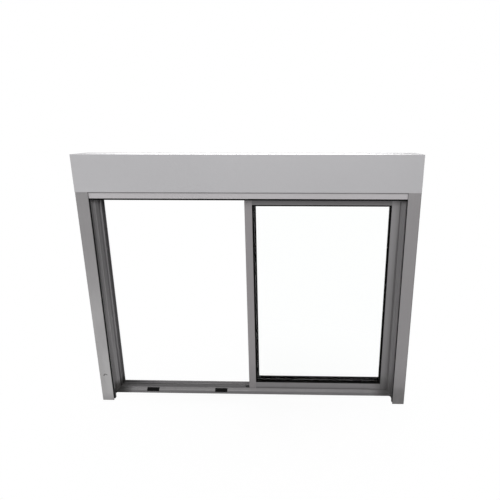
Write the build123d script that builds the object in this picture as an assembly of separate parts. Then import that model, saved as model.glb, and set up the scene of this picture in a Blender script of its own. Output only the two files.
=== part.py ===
from build123d import *
import math
import os

# Two-track sliding window of extruded aluminium with a roller-shutter box on top, in millimetres.
# X runs to the right seen from outside, Y runs inwards through the wall, Z is up.
# The origin is on the underside of the sill, in the middle of its length and of its depth.

# Overall sizes
overall_width = 1500.0      # over the two shutter guides, and the length of the box
frame_height = 1014.0       # sill underside to head top
wall_lap = 26.0             # how far each guide stands out past the side of the frame
guide_drop = 26.0           # how far the guides reach below the sill
guide_cover = 4.0           # how much of the frame's base each guide hides on the opening's side

# Shutter guides
guide_width = 57.0
guide_depth = 28.0
guide_wall = 2.0
guide_corner = 3.5          # rounded edge towards the outside, at the far side from the opening
guide_slot_width = 12.0
guide_slot_depth = 27.0
brush_base = 1.2
brush_width = 6.0
brush_inset = 0.5           # from the mouth of the slot

# Frame section: depth goes inwards, height goes towards the opening
frame_wall = 1.8
floor_height = 10.0         # top of the hollow base
nose_depth = 12.0           # outer wall with its sloping ledge
nose_lip = 17.0
nose_height = 27.0
rib_height = 32.0
rib_thickness = 2.6
nose_gap = 1.0              # sloping nose to the outer sash
sash_gap = 6.0              # outer sash to the inner one
back_gap = 3.2              # inner sash to the wall behind it
middle_wall_height = 28.0
back_wall_height = 21.0

# Drain slots in the ledge of the sill, left half
drain_width = 61.0
drain_high = 25.5
drain_from_end = 195.0      # left end of the sill to the middle of the first slot
drain_from_middle = 158.0   # middle of the window to the middle of the second slot
drain_proud = 0.8
drain_side = 2.4            # cap beside its mouth
drain_sill = 1.2            # cap below its mouth
drain_mouth = 4.0

# Sash sections
sash_depth = 28.0
sash_wall = 1.8
sash_edge = 1.0             # rounded edges of the sash bars
closing_stile_width = 40.0
meeting_stile_width = 34.0
top_rail_height = 37.0
bottom_rail_height = 40.0
glass_groove = 13.0
closing_groove = 13.0       # takes the rail of the jamb
meeting_groove = 12.5
sash_foot = 19.0            # underside of a sash above the sill underside
sash_head_gap = 23.5        # top of a sash below the head top
sash_side_gap = 21.0        # closing stile to the inner face of the frame's base
hook_start = 13.0           # from the outer edge of the meeting stile
hook_length = 5.5
hook_wall = 1.5

# Glazing
pane_thickness = 4.0
pane_gap = 10.0
spacer_height = 7.0
gasket_show = 6.0           # black edge that stands past the sash
gasket_back = 1.5           # rubber under the edge of the glass

# Sash rollers
roller_radius = 6.4
roller_width = 6.0
roller_groove = 1.2         # depth of the V that sits on the rail, and half its width
axle_radius = 2.0
carriage_length = 64.0
carriage_wall = 2.0
carriage_from_corner = 30.0

# Pile strips on each side of a rail
pile_width = 4.0

# Latches let into the closing stiles
latch_length = 150.0
latch_body = 14.0
latch_from_foot = 400.0
finger_length = 64.0
finger_width = 7.0
finger_depth = 9.0
round_end = 0.1             # straight part left between two rounded corners

# Shutter box
box_wall = 1.6
box_flange = 14.0
box_corner = 1.5
box_bead = 0.8              # thickening along the foot of the front panel
end_plate = 3.0
end_rim = 10.0
curtain_slot = 15.0         # front of the box to the front edge of its bottom panel
bottom_lip = 9.0
roll_room = 6.6             # between the rolled curtain and the top and bottom panels
back_room = 18.7            # between the rolled curtain and the back panel

# Roller, curtain and end slat
tube_flats = 60.0
tube_wall = 1.5
pin_radius = 6.0
hub_radius = 16.0
hub_length = 12.0
curtain_line = 8.2          # front of the box to the middle of the hanging curtain
slat_thickness = 8.0
slat_pitch = 39.0
slat_joint = 5.0
slat_neck = 3.0
winding_gap = 1.4
curtain_entry = 17.0        # how far the slats run into each guide
end_slat_height = 44.0
end_slat_show = 28.0        # hangs out below the box
end_slat_wall = 1.4
end_slat_corner = 1.0
end_slat_lines = (6.0, 15.0)
line_height = 1.5
line_depth = 0.7
seal_height = 7.0
seal_thickness = 6.0
seal_corner = 2.4

# Clearances
seat = 0.3
running = 1.0
bearing = 0.05

# Places worked out from the sizes: the frame is as deep as its nose, two sashes and their gaps need
front_rib_depth = nose_depth + nose_gap + sash_depth / 2
track_pitch = sash_depth + sash_gap
frame_depth = front_rib_depth + track_pitch + sash_depth / 2 + back_gap + frame_wall
frame_front = -frame_depth / 2
front = frame_front - guide_depth
side = overall_width / 2 - wall_lap
guide_inner = overall_width / 2 - guide_width
frame_base = guide_inner + guide_cover
back_rib_depth = front_rib_depth + track_pitch
middle_wall_depth = front_rib_depth + track_pitch / 2
sash_top = frame_height - sash_head_gap
sash_right = frame_base - sash_side_gap
sash_left = -meeting_stile_width / 2
outer_sash_middle = frame_front + front_rib_depth
glass_depth = 2 * pane_thickness + pane_gap
gasket_wall = (sash_depth - glass_depth) / 2 - sash_wall - seat
panel_end = overall_width / 2 - end_plate
curtain_y = front + curtain_line
end_slat_bottom = frame_height - end_slat_show
end_slat_top = end_slat_bottom + end_slat_height
curtain_half = guide_inner + curtain_entry

# Size of the rolled curtain, and of the box that it needs
tube_corner = tube_flats / 2 / math.cos(math.pi / 8)
winding_pitch = slat_thickness + winding_gap
inner_winding = tube_corner + seat + slat_thickness / 2
wound_slats = round((frame_height + guide_drop - end_slat_height) / slat_pitch)
half_growth = math.pi * winding_pitch
first_turn = 2 * math.pi * inner_winding
turn_root = math.sqrt(first_turn ** 2 + 4 * half_growth * wound_slats * slat_pitch)
outer_winding = inner_winding + winding_pitch * (turn_root - first_turn) / (2 * half_growth)
roll_reach = outer_winding + slat_thickness / 2
roll_y = curtain_y + outer_winding
roll_z = frame_height + 2 * box_wall + roll_room + roll_reach
box_top = roll_z + roll_reach + roll_room + 2 * box_wall
box_back = roll_y + roll_reach + back_room + box_wall


def face_of(points):
    return make_face(Polyline(*points, close=True))


def block(x0, x1, y0, y1, z0, z1):
    middle = ((x0 + x1) / 2, (y0 + y1) / 2, (z0 + z1) / 2)
    return Pos(*middle) * Box(x1 - x0, y1 - y0, z1 - z0)


def rectangle(a0, a1, b0, b1):
    return Pos((a0 + a1) / 2, (b0 + b1) / 2) * Rectangle(a1 - a0, b1 - b0)


def corner_at(section, a, b):
    return section.vertices().sort_by_distance((a, b))[0]


def along_x(section, x0, x1):
    # the section's own x and y are Y and Z of the window
    return extrude(Plane.YZ.offset(x0) * section, amount=x1 - x0)


def along_z(section, z0, z1):
    return extrude(Plane.XY.offset(z0) * section, amount=z1 - z0)


def through_y(section, y0, y1):
    # the section's own x and y are X and Z of the window
    plane = Plane(origin=(0, y1, 0), x_dir=(1, 0, 0), z_dir=(0, -1, 0))
    return extrude(plane * section, amount=y1 - y0)


def other_side(shape):
    return mirror(shape, about=Plane.YZ)


# Frame

def base_section():
    # flat hollow base with a web under each rail
    wall = frame_wall
    section = rectangle(0, frame_depth, 0, floor_height)
    section -= rectangle(wall, frame_depth - wall, wall, floor_height - wall)
    for middle in (front_rib_depth, back_rib_depth):
        section += rectangle(middle - rib_thickness / 2, middle + rib_thickness / 2, 0, floor_height)
    return section


def ledge_section():
    # sloping nose along the outside, open to the base below it
    outline = face_of([
        (0, floor_height),
        (nose_depth, floor_height),
        (nose_depth, nose_height),
        (0, nose_lip),
    ])
    inside = offset(outline, amount=-frame_wall, kind=Kind.INTERSECTION)
    low = floor_height + 2 * frame_wall
    return outline - inside - rectangle(frame_wall, nose_depth - frame_wall, floor_height, low)


def rail_profile(middle):
    # upright with a round top that a grooved wheel runs on
    half = rib_thickness / 2
    upright = rectangle(middle - half, middle + half, floor_height, rib_height - half)
    return upright + Pos(middle, rib_height - half) * Circle(half)


def middle_wall_profile():
    half = frame_wall / 2
    return rectangle(middle_wall_depth - half, middle_wall_depth + half, floor_height, middle_wall_height)


def back_wall_profile():
    return rectangle(frame_depth - frame_wall, frame_depth, floor_height, back_wall_height)


def track_section():
    # the whole frame section in one: base, nose, two rails, a wall between the sashes and one behind
    section = base_section() + ledge_section()
    section += rail_profile(front_rib_depth)
    section += rail_profile(back_rib_depth)
    return section + middle_wall_profile() + back_wall_profile()


def corner_wedge():
    # the sill's share of the frame, cut at 45 degrees where it meets the jambs
    rise = rib_height + frame_wall
    outline = face_of([
        (-frame_base, 0),
        (frame_base, 0),
        (frame_base - rise, rise),
        (-frame_base + rise, rise),
    ])
    return through_y(outline, frame_front - 1, frame_front + frame_depth + 1)


def mitred(section):
    # the section carried along the sill and cut at both corners
    plane = Plane(origin=(-frame_base, frame_front, 0), x_dir=(0, 1, 0), z_dir=(1, 0, 0))
    return extrude(plane * section, amount=2 * frame_base) & corner_wedge()


def upside_down(shape):
    return mirror(shape, about=Plane.XY.offset(frame_height / 2))


def right_jamb():
    # the same rails as the sill, on a chamber that stands behind the shutter guide
    low = frame_base - side
    wall = frame_wall
    chamber = rectangle(0, frame_depth, low, wall / 2)
    chamber -= rectangle(wall, frame_depth - wall, low + wall, -wall / 2)
    section = track_section() + chamber
    plane = Plane(origin=(frame_base, frame_front, 0), x_dir=(0, 1, 0), z_dir=(0, 0, 1))
    bar = extrude(plane * section, amount=frame_height)
    return bar - corner_wedge() - upside_down(corner_wedge())


def drain_places():
    return [-frame_base + drain_from_end, -drain_from_middle]


def sill_ledge():
    ledge = mitred(ledge_section())
    half = drain_width / 2 + seat
    inside = frame_front + nose_depth - frame_wall
    for x in drain_places():
        ledge -= block(x - half, x + half, frame_front - 1, inside, floor_height, drain_high + seat)
    return ledge


def sill_rails():
    return Compound(children=[
        mitred(rail_profile(front_rib_depth)),
        mitred(rail_profile(back_rib_depth)),
    ])


def sill_walls():
    return Compound(children=[
        mitred(middle_wall_profile()),
        mitred(back_wall_profile()),
    ])


def drain_cap(x):
    # black cap that fills the slot, a little proud, with a long mouth at its foot
    slope = (nose_height - nose_lip) / nose_depth
    skin = drain_proud
    inner = nose_depth - frame_wall - seat
    outline = face_of([
        (-skin, floor_height),
        (inner, floor_height),
        (inner, drain_high),
        ((drain_high - nose_lip) / slope - skin, drain_high),
        (-skin, nose_lip),
    ])
    placed = Pos(frame_front, 0) * outline
    cap = along_x(placed, x - drain_width / 2, x + drain_width / 2)
    mouth = drain_width / 2 - drain_side
    back = frame_front + nose_depth - 3 * frame_wall
    low = floor_height + drain_sill
    cap -= block(x - mouth, x + mouth, frame_front - 1, back, low, low + drain_mouth)
    return cap


# Shutter guides

def right_guide():
    outer = overall_width / 2
    slot_front = curtain_y - guide_slot_width / 2
    slot_back = curtain_y + guide_slot_width / 2
    slot_end = guide_inner + guide_slot_depth
    wall = guide_wall
    section = rectangle(guide_inner, outer, front, frame_front)
    section = fillet(corner_at(section, outer, front), guide_corner)
    section -= rectangle(guide_inner - 1, slot_end, slot_front, slot_back)
    section -= rectangle(slot_end + wall, outer - wall, front + wall, frame_front - wall)
    section -= rectangle(guide_inner + wall, slot_end, slot_back + wall, frame_front - wall)
    return along_z(section, -guide_drop, frame_height)


def right_guide_brushes():
    # one strip on each side of the slot, their piles pointing at the slats
    slot_front = curtain_y - guide_slot_width / 2
    slot_back = curtain_y + guide_slot_width / 2
    x0 = guide_inner + brush_inset
    x1 = x0 + brush_width
    middle = (x0 + x1) / 2
    quarter = brush_width / 4
    tip = (guide_slot_width - slat_thickness) / 2 - seat
    low = rectangle(x0, x1, slot_front, slot_front + brush_base)
    low += rectangle(middle - quarter, middle + quarter, slot_front, slot_front + tip)
    high = rectangle(x0, x1, slot_back - brush_base, slot_back)
    high += rectangle(middle - quarter, middle + quarter, slot_back - tip, slot_back)
    return along_z(low, -guide_drop, frame_height) + along_z(high, -guide_drop, frame_height)


# Sashes, made as the outer one and moved back one track for the inner one

hollow_start = sash_right - closing_stile_width + glass_groove + sash_wall
hollow_end = sash_right - closing_groove - sash_wall


def sash_bar(a0, a1, b0, b1):
    bar = rectangle(a0, a1, b0, b1)
    return fillet(bar.vertices(), sash_edge)


def rail_notches(x0, x1):
    # the ends of a stile are cut out where it stands over the rails of sill and head
    y0 = outer_sash_middle - sash_depth / 2 + sash_wall
    y1 = outer_sash_middle + sash_depth / 2 - sash_wall
    foot = block(x0 - 1, x1 + 1, y0, y1, sash_foot - 1, rib_height + running)
    return foot + block(x0 - 1, x1 + 1, y0, y1, frame_height - rib_height - running, sash_top + 1)


def closing_stile():
    # glass groove, hollow middle and a groove that takes the rail of the jamb
    x0 = sash_right - closing_stile_width
    y0 = outer_sash_middle - sash_depth / 2
    y1 = outer_sash_middle + sash_depth / 2
    section = sash_bar(x0, sash_right, y0, y1)
    section -= rectangle(x0 - 1, x0 + glass_groove, y0 + sash_wall, y1 - sash_wall)
    section -= rectangle(sash_right - closing_groove, sash_right + 1, y0 + sash_wall, y1 - sash_wall)
    section -= rectangle(hollow_start, hollow_end, y0 + sash_wall, y1 - sash_wall)
    return along_z(section, sash_foot, sash_top) - rail_notches(x0, sash_right)


def meeting_stile():
    # a groove on each side, and a hook on the face that looks at the other sash
    x0 = sash_left
    x1 = x0 + meeting_stile_width
    y0 = outer_sash_middle - sash_depth / 2
    y1 = outer_sash_middle + sash_depth / 2
    section = sash_bar(x0, x1, y0, y1)
    section -= rectangle(x1 - glass_groove, x1 + 1, y0 + sash_wall, y1 - sash_wall)
    section -= rectangle(x0 - 1, x0 + meeting_groove, y0 + sash_wall, y1 - sash_wall)
    middle_start = x0 + meeting_groove + sash_wall
    section -= rectangle(middle_start, x1 - glass_groove - sash_wall, y0 + sash_wall, y1 - sash_wall)
    stile = along_z(section, sash_foot, sash_top) - rail_notches(x0, x1)
    start = x0 + hook_start
    tip = y1 + track_pitch - sash_depth - 2 * seat
    hook = rectangle(start, start + hook_wall, y1 - sash_wall, tip)
    hook += rectangle(start, start + hook_length, tip - hook_wall, tip)
    low = middle_wall_height + running
    return stile + along_z(hook, low, frame_height - low)


def rail_section(low, high, groove_up):
    # an H with one groove for the glass and one for the rail of the frame
    y0 = outer_sash_middle - sash_depth / 2
    y1 = outer_sash_middle + sash_depth / 2
    section = sash_bar(y0, y1, low, high)
    if groove_up:
        section -= rectangle(y0 + sash_wall, y1 - sash_wall, high - glass_groove, high + 1)
        section -= rectangle(y0 + sash_wall, y1 - sash_wall, low - 1, high - glass_groove - sash_wall)
    else:
        section -= rectangle(y0 + sash_wall, y1 - sash_wall, low - 1, low + glass_groove)
        section -= rectangle(y0 + sash_wall, y1 - sash_wall, low + glass_groove + sash_wall, high + 1)
    return section


rail_start = sash_left + meeting_stile_width
rail_end = sash_right - closing_stile_width
glass_bottom = sash_foot + bottom_rail_height
glass_top = sash_top - top_rail_height


def bottom_rail():
    return along_x(rail_section(sash_foot, glass_bottom, True), rail_start, rail_end)


def top_rail():
    return along_x(rail_section(glass_top, sash_top, False), rail_start, rail_end)


def glass_frame(inset, y0, y1):
    # a slab that fills the daylight opening and goes into the grooves, less the inset
    reach = glass_groove - inset
    return block(rail_start - reach, rail_end + reach, y0, y1, glass_bottom - reach, glass_top + reach)


def daylight(y0, y1, inset):
    return block(rail_start + inset, rail_end - inset, y0, y1, glass_bottom + inset, glass_top - inset)


unit_front = outer_sash_middle - glass_depth / 2
unit_back = outer_sash_middle + glass_depth / 2
pane_inset = gasket_back + 2 * seat


def front_pane():
    return glass_frame(pane_inset, unit_front, unit_front + pane_thickness)


def back_pane():
    return glass_frame(pane_inset, unit_back - pane_thickness, unit_back)


def spacer():
    y0 = unit_front + pane_thickness
    y1 = unit_back - pane_thickness
    outer = glass_frame(pane_inset + 1, y0, y1)
    return outer - glass_frame(pane_inset + 1 + spacer_height, y0, y1)


def gasket():
    # a channel of black rubber round the edge of the double glass
    y0 = unit_front - gasket_wall
    y1 = unit_back + gasket_wall
    ring = glass_frame(seat, y0, y1)
    ring -= daylight(y0 - 1, y1 + 1, gasket_show)
    ring -= glass_frame(pane_inset, unit_front, unit_back)
    return ring


def roller_set():
    # grooved wheel on its axle in a carriage under the glass, near each end of the bottom rail
    wedge_room = rib_thickness / 2 * (math.sqrt(2) - 1) + bearing
    wheel_z = rib_height + wedge_room + roller_radius - roller_groove
    inner = sash_depth - 2 * sash_wall - 2 * seat
    roof = glass_bottom - glass_groove - sash_wall
    bore = axle_radius + bearing
    half = roller_width / 2
    rim = face_of([
        (bore, -half),
        (roller_radius, -half),
        (roller_radius, -roller_groove),
        (roller_radius - roller_groove, 0),
        (roller_radius, roller_groove),
        (roller_radius, half),
        (bore, half),
    ])
    turned = revolve(rim, axis=Axis.Y)
    wheels = []
    for x in (rail_start + carriage_from_corner, rail_end - carriage_from_corner):
        start = x - carriage_length / 2 + carriage_wall
        body = block(
            x - carriage_length / 2,
            x + carriage_length / 2,
            outer_sash_middle - inner / 2,
            outer_sash_middle + inner / 2,
            wheel_z - axle_radius * 2,
            roof,
        )
        pocket = roller_width + 2 * running
        body -= block(
            start,
            x + carriage_length / 2 - carriage_wall,
            outer_sash_middle - pocket / 2,
            outer_sash_middle + pocket / 2,
            wheel_z - axle_radius * 2 - 1,
            roof + 1,
        )
        axle = Pos(x, outer_sash_middle, wheel_z) * Rot(90, 0, 0) * Cylinder(axle_radius, inner)
        body += axle
        wheels.append(body)
        wheels.append(Pos(x, outer_sash_middle, wheel_z) * turned)
    return Compound(children=wheels)


def pile_strips():
    # pairs of strips that close the grooves of a sash on the rails of the frame
    from_middle = sash_depth / 2 - sash_wall
    tip = rib_thickness / 2 + seat
    low = sash_foot + 2 * pile_width
    high = sash_top - 2 * pile_width
    strips = []
    for sign in (-1, 1):
        ends = sorted((sign * from_middle, sign * tip))
        y0 = outer_sash_middle + ends[0]
        y1 = outer_sash_middle + ends[1]
        strips.append(block(rail_start, rail_end, y0, y1, sash_foot, sash_foot + pile_width))
        strips.append(block(rail_start, rail_end, y0, y1, sash_top - pile_width, sash_top))
        strips.append(block(sash_right - pile_width, sash_right, y0, y1, low, high))
    return Compound(children=strips)


def latch_outline(clearance):
    width = hollow_end - hollow_start - 2 * seat + 2 * clearance
    plate = RectangleRounded(width, latch_length + 2 * clearance, width / 2 - round_end)
    return Pos((hollow_start + hollow_end) / 2, sash_foot + latch_from_foot) * plate


def latch():
    # let in flush with the inner face of the closing stile, with a finger pull
    face = outer_sash_middle + sash_depth / 2
    pull = RectangleRounded(finger_width, finger_length, finger_width / 2 - round_end)
    place = Pos((hollow_start + hollow_end) / 2, sash_foot + latch_from_foot)
    body = through_y(latch_outline(0), face - latch_body, face)
    return body - through_y(place * pull, face - finger_depth, face)


def latch_cut():
    face = outer_sash_middle + sash_depth / 2
    return through_y(latch_outline(seat), face - sash_wall - 1, face + 1)


def closing_stile_with_latch():
    return closing_stile() - latch_cut()


def to_inner_track(shape):
    # the inner sash is the outer one turned over left for right, slid behind it on the next track
    return Pos(sash_right + sash_left, track_pitch, 0) * other_side(shape)


def inner_meeting_stile():
    # its hook looks outwards, at the other sash
    about = Plane.XZ.offset(-outer_sash_middle)
    return to_inner_track(mirror(meeting_stile(), about=about))


# Shutter box

def box_front_panel():
    z0 = frame_height
    z1 = box_top
    section = rectangle(front, front + box_wall, z0, z1)
    section += rectangle(front, front + box_flange, z1 - box_wall, z1)
    section = fillet(corner_at(section, front, z1), box_corner)
    section += rectangle(front, front + box_wall + box_bead, z0, z0 + bottom_lip)
    return along_x(section, -panel_end, panel_end)


def box_back_panel():
    z0 = frame_height
    z1 = box_top
    section = rectangle(box_back - box_wall, box_back, z0, z1)
    section += rectangle(box_back - box_flange, box_back, z1 - box_wall, z1)
    section = fillet(corner_at(section, box_back, z1), box_corner)
    section += rectangle(box_back - box_flange, box_back, z0 + box_wall, z0 + 2 * box_wall)
    return along_x(section, -panel_end, panel_end)


def box_top_panel():
    section = rectangle(
        front + box_wall + seat,
        box_back - box_wall - seat,
        box_top - 2 * box_wall,
        box_top - box_wall,
    )
    return along_x(section, -panel_end, panel_end)


def box_bottom_panel():
    start = front + curtain_slot
    section = rectangle(start, box_back - box_wall - seat, frame_height, frame_height + box_wall)
    section += rectangle(start, start + box_wall, frame_height, frame_height + bottom_lip)
    return along_x(section, -panel_end, panel_end)


def box_end():
    # side plate with a rim inside the panels and a hub that carries the roller
    outline = rectangle(front, box_back, frame_height, box_top)
    outline = fillet(outline.vertices(), box_corner)
    plate = along_x(outline, panel_end, panel_end + end_plate)
    inset = 2 * box_wall + seat
    rim_outer = rectangle(front + inset, box_back - inset, frame_height + inset, box_top - inset)
    rim_inner = offset(rim_outer, amount=-box_wall, kind=Kind.INTERSECTION)
    rim = along_x(rim_outer - rim_inner, panel_end - end_rim, panel_end)
    slot_edge = front + curtain_slot + box_wall + seat
    rim_top = box_top - inset - 2 * box_wall
    rim -= block(panel_end - end_rim - 1, panel_end, front, slot_edge, frame_height, rim_top)
    middle = Pos(roll_y, roll_z)
    hub = along_x(middle * Circle(hub_radius), panel_end - hub_length, panel_end)
    bore = along_x(middle * Circle(pin_radius + bearing), panel_end - hub_length - 1, panel_end)
    return plate + rim + hub - bore


# Roller and curtain

def shutter_tube():
    # eight-sided tube with a plug and a pin in each end
    flats = RegularPolygon(tube_flats / 2, 8, major_radius=False)
    hollow = RegularPolygon(tube_flats / 2 - tube_wall, 8, major_radius=False)
    reach = panel_end - hub_length - running
    place = Pos(roll_y, roll_z)
    tube = along_x(place * (flats - hollow), -reach, reach)
    for sign in (-1, 1):
        plug_end = sign * (reach - hub_length)
        x0 = min(sign * reach, plug_end)
        tube += along_x(place * hollow, x0, x0 + hub_length)
        pin_end = sign * (panel_end - seat)
        x1 = min(pin_end, plug_end)
        tube += along_x(place * Circle(pin_radius), x1, x1 + abs(pin_end - plug_end))
    return tube


def winding_radius(angle_from_start):
    return outer_winding - winding_pitch * angle_from_start / (2 * math.pi)


def on_winding(angle_from_start, across):
    radius = winding_radius(angle_from_start) + across
    angle = math.pi - angle_from_start
    return (roll_y + radius * math.cos(angle), roll_z + radius * math.sin(angle))


def bent_bar(start, end, half):
    # a piece of the winding between two angles, as thick as a slat or as a neck
    middle = (start + end) / 2
    outer = ThreePointArc(on_winding(start, half), on_winding(middle, half), on_winding(end, half))
    inner = ThreePointArc(on_winding(end, -half), on_winding(middle, -half), on_winding(start, -half))
    first = Line(on_winding(start, -half), on_winding(start, half))
    last = Line(on_winding(end, half), on_winding(end, -half))
    return make_face([first, outer, last, inner])


def shutter_curtain():
    # slats hooked one to the next, hanging down to the end slat and wound on the tube
    half = slat_thickness / 2
    neck = slat_neck / 2
    pieces = []
    hanging = roll_z - end_slat_top
    count = max(1, round(hanging / slat_pitch))
    step = hanging / count
    for i in range(count):
        z0 = end_slat_top + i * step
        pieces.append(rectangle(curtain_y - half, curtain_y + half, z0 + slat_joint, z0 + step))
        pieces.append(rectangle(curtain_y - neck, curtain_y + neck, z0, z0 + slat_joint))
    angle = 0.0
    for i in range(wound_slats):
        radius = winding_radius(angle)
        joint = angle + slat_joint / radius
        end = angle + slat_pitch / radius
        pieces.append(bent_bar(angle - seat / radius, joint + seat / radius, neck))
        pieces.append(bent_bar(joint, end, half))
        angle = end
    section = pieces[0]
    for piece in pieces[1:]:
        section += piece
    return along_x(section, -curtain_half, curtain_half)


def shutter_end_slat():
    half = slat_thickness / 2
    section = rectangle(curtain_y - half, curtain_y + half, end_slat_bottom, end_slat_top)
    section = fillet(section.vertices(), end_slat_corner)
    section -= rectangle(
        curtain_y - half + end_slat_wall,
        curtain_y + half - end_slat_wall,
        end_slat_bottom + 2 * end_slat_wall,
        end_slat_top - 2 * end_slat_wall,
    )
    for height in end_slat_lines:
        z = end_slat_bottom + height
        section -= rectangle(curtain_y - half - 1, curtain_y - half + line_depth, z, z + line_height)
    return along_x(section, -curtain_half, curtain_half)


def shutter_seal():
    half = seal_thickness / 2
    section = rectangle(curtain_y - half, curtain_y + half, end_slat_bottom - seal_height, end_slat_bottom)
    low = section.vertices().group_by(Axis.Y)[0]
    section = fillet(low, seal_corner)
    return along_x(section, -guide_inner + running, guide_inner - running)


def parts_of_window():
    nodes = {
        "frame_sill": mitred(base_section()),
        "sill_ledge": sill_ledge(),
        "sill_rails": sill_rails(),
        "sill_walls": sill_walls(),
        "frame_head": upside_down(mitred(track_section())),
        "frame_jamb_right": right_jamb(),
        "frame_jamb_left": other_side(right_jamb()),
        "guide_right": right_guide(),
        "guide_left": other_side(right_guide()),
        "guide_right_brushes": right_guide_brushes(),
        "guide_left_brushes": other_side(right_guide_brushes()),
        "box_front_panel": box_front_panel(),
        "box_back_panel": box_back_panel(),
        "box_top_panel": box_top_panel(),
        "box_bottom_panel": box_bottom_panel(),
        "box_end_right": box_end(),
        "box_end_left": other_side(box_end()),
        "shutter_tube": shutter_tube(),
        "shutter_curtain": shutter_curtain(),
        "shutter_end_slat": shutter_end_slat(),
        "shutter_seal": shutter_seal(),
        "outer_sash_closing_stile": closing_stile_with_latch(),
        "outer_sash_meeting_stile": meeting_stile(),
        "inner_sash_closing_stile": to_inner_track(closing_stile_with_latch()),
        "inner_sash_meeting_stile": inner_meeting_stile(),
    }
    for i, x in enumerate(drain_places()):
        nodes["drain_cap_" + str(i + 1)] = drain_cap(x)
    makers = {
        "top_rail": top_rail,
        "bottom_rail": bottom_rail,
        "front_pane": front_pane,
        "back_pane": back_pane,
        "glass_spacer": spacer,
        "gasket": gasket,
        "rollers": roller_set,
        "pile_strips": pile_strips,
        "latch": latch,
    }
    for name, make in makers.items():
        nodes["outer_sash_" + name] = make()
        nodes["inner_sash_" + name] = to_inner_track(make())
    return nodes


os.makedirs("parts", exist_ok=True)
for node, shape in parts_of_window().items():
    export_step(shape, "parts/" + node + ".step")
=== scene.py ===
import math

import bmesh
import bpy
import numpy as np
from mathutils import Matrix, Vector


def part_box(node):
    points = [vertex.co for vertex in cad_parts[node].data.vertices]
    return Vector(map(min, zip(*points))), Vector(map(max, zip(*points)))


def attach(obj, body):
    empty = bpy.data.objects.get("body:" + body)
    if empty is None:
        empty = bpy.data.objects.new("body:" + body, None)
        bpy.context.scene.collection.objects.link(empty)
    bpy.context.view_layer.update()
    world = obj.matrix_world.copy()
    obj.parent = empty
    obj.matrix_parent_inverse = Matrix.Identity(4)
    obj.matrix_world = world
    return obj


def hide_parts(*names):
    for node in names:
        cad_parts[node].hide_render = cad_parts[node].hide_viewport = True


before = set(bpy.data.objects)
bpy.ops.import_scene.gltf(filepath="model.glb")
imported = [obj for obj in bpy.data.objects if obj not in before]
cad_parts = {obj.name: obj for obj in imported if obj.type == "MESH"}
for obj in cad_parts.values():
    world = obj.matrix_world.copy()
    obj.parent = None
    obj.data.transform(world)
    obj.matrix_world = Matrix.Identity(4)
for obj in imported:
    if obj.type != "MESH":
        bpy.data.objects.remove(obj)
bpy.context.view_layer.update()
print("frame loaded:", len(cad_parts), "nodes")


class Wire:
    # one socket of a shader tree: sums, products and powers of wires become Math nodes
    def __init__(self, tree, socket):
        self.tree = tree
        self.socket = socket

    def node(self, kind, settings=None, inputs=None, output=0):
        # any node: its settings first, then a value or a wire for each socket
        made = self.tree.nodes.new(kind)
        for name, value in (settings or {}).items():
            setattr(made, name, value)
        for name, value in (inputs or {}).items():
            if isinstance(value, Wire):
                self.tree.links.new(value.socket, made.inputs[name])
            else:
                made.inputs[name].default_value = value
        return Wire(self.tree, made.outputs[output])

    def maths(self, operation, first, second):
        return self.node("ShaderNodeMath", {"operation": operation}, {0: first, 1: second})

    def __add__(self, other):
        return self.maths("ADD", self, other)

    def __radd__(self, other):
        return self.maths("ADD", other, self)

    def __sub__(self, other):
        return self.maths("SUBTRACT", self, other)

    def __rsub__(self, other):
        return self.maths("SUBTRACT", other, self)

    def __mul__(self, other):
        return self.maths("MULTIPLY", self, other)

    def __rmul__(self, other):
        return self.maths("MULTIPLY", other, self)

    def __truediv__(self, other):
        return self.maths("DIVIDE", self, other)

    def __rtruediv__(self, other):
        return self.maths("DIVIDE", other, self)

    def __pow__(self, other):
        return self.maths("POWER", self, other)

    def __rpow__(self, other):
        return self.maths("POWER", other, self)

    def __abs__(self):
        return self.maths("ABSOLUTE", self, 0.0)

    def most(self, other):
        return self.maths("MAXIMUM", self, other)

    def ramp(self, low, high, start=0.0, end=1.0):
        # smooth step from start to end while the wire goes from low to high
        settings = {"interpolation_type": "SMOOTHSTEP", "clamp": True}
        inputs = {"Value": self, "From Min": low, "From Max": high, "To Min": start, "To Max": end}
        return self.node("ShaderNodeMapRange", settings, inputs)

    def noise(self, scale, detail=3.0, roughness=0.5):
        inputs = {"Vector": self, "Scale": scale, "Detail": detail, "Roughness": roughness}
        return self.node("ShaderNodeTexNoise", None, inputs)

    def stretched(self, x, y, z, shift=(0.0, 0.0, 0.0)):
        inputs = {"Vector": self, "Location": shift, "Scale": (x, y, z)}
        return self.node("ShaderNodeMapping", None, inputs)

    def axes(self):
        return [self.node("ShaderNodeSeparateXYZ", None, {"Vector": self}, k) for k in range(3)]

    def mixed(self, first, second):
        # colour mix by this wire, 0 gives the first and 1 the second
        settings = {"data_type": "RGBA", "clamp_factor": True}
        return self.node("ShaderNodeMix", settings, {0: self, 6: first, 7: second}, 2)

    def tinting(self, colour):
        # the colour times this wire
        same = self.node("ShaderNodeCombineColor", None, {0: self, 1: self, 2: self})
        settings = {"data_type": "RGBA", "blend_type": "MULTIPLY"}
        return self.node("ShaderNodeMix", settings, {0: 1.0, 6: colour, 7: same}, 2)

    def bumped(self, strength, distance):
        inputs = {"Height": self, "Strength": strength, "Distance": distance}
        return self.node("ShaderNodeBump", None, inputs)


def newMaterial(name):
    # material, its Principled shader and a wire with the object's own coordinates
    made = bpy.data.materials.new(name)
    made.use_nodes = True
    tree = made.node_tree
    shader = tree.nodes["Principled BSDF"]
    place = Wire(tree, None).node("ShaderNodeTexCoord", None, None, 3)
    return made, shader, place


def feed(shader, wires):
    # a wire into each named socket
    for name, wire in wires.items():
        wire.tree.links.new(wire.socket, shader.inputs[name])


def fix(shader, values):
    # sockets that stay the same all over the surface
    for name, value in values.items():
        shader.inputs[name].default_value = value


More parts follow.
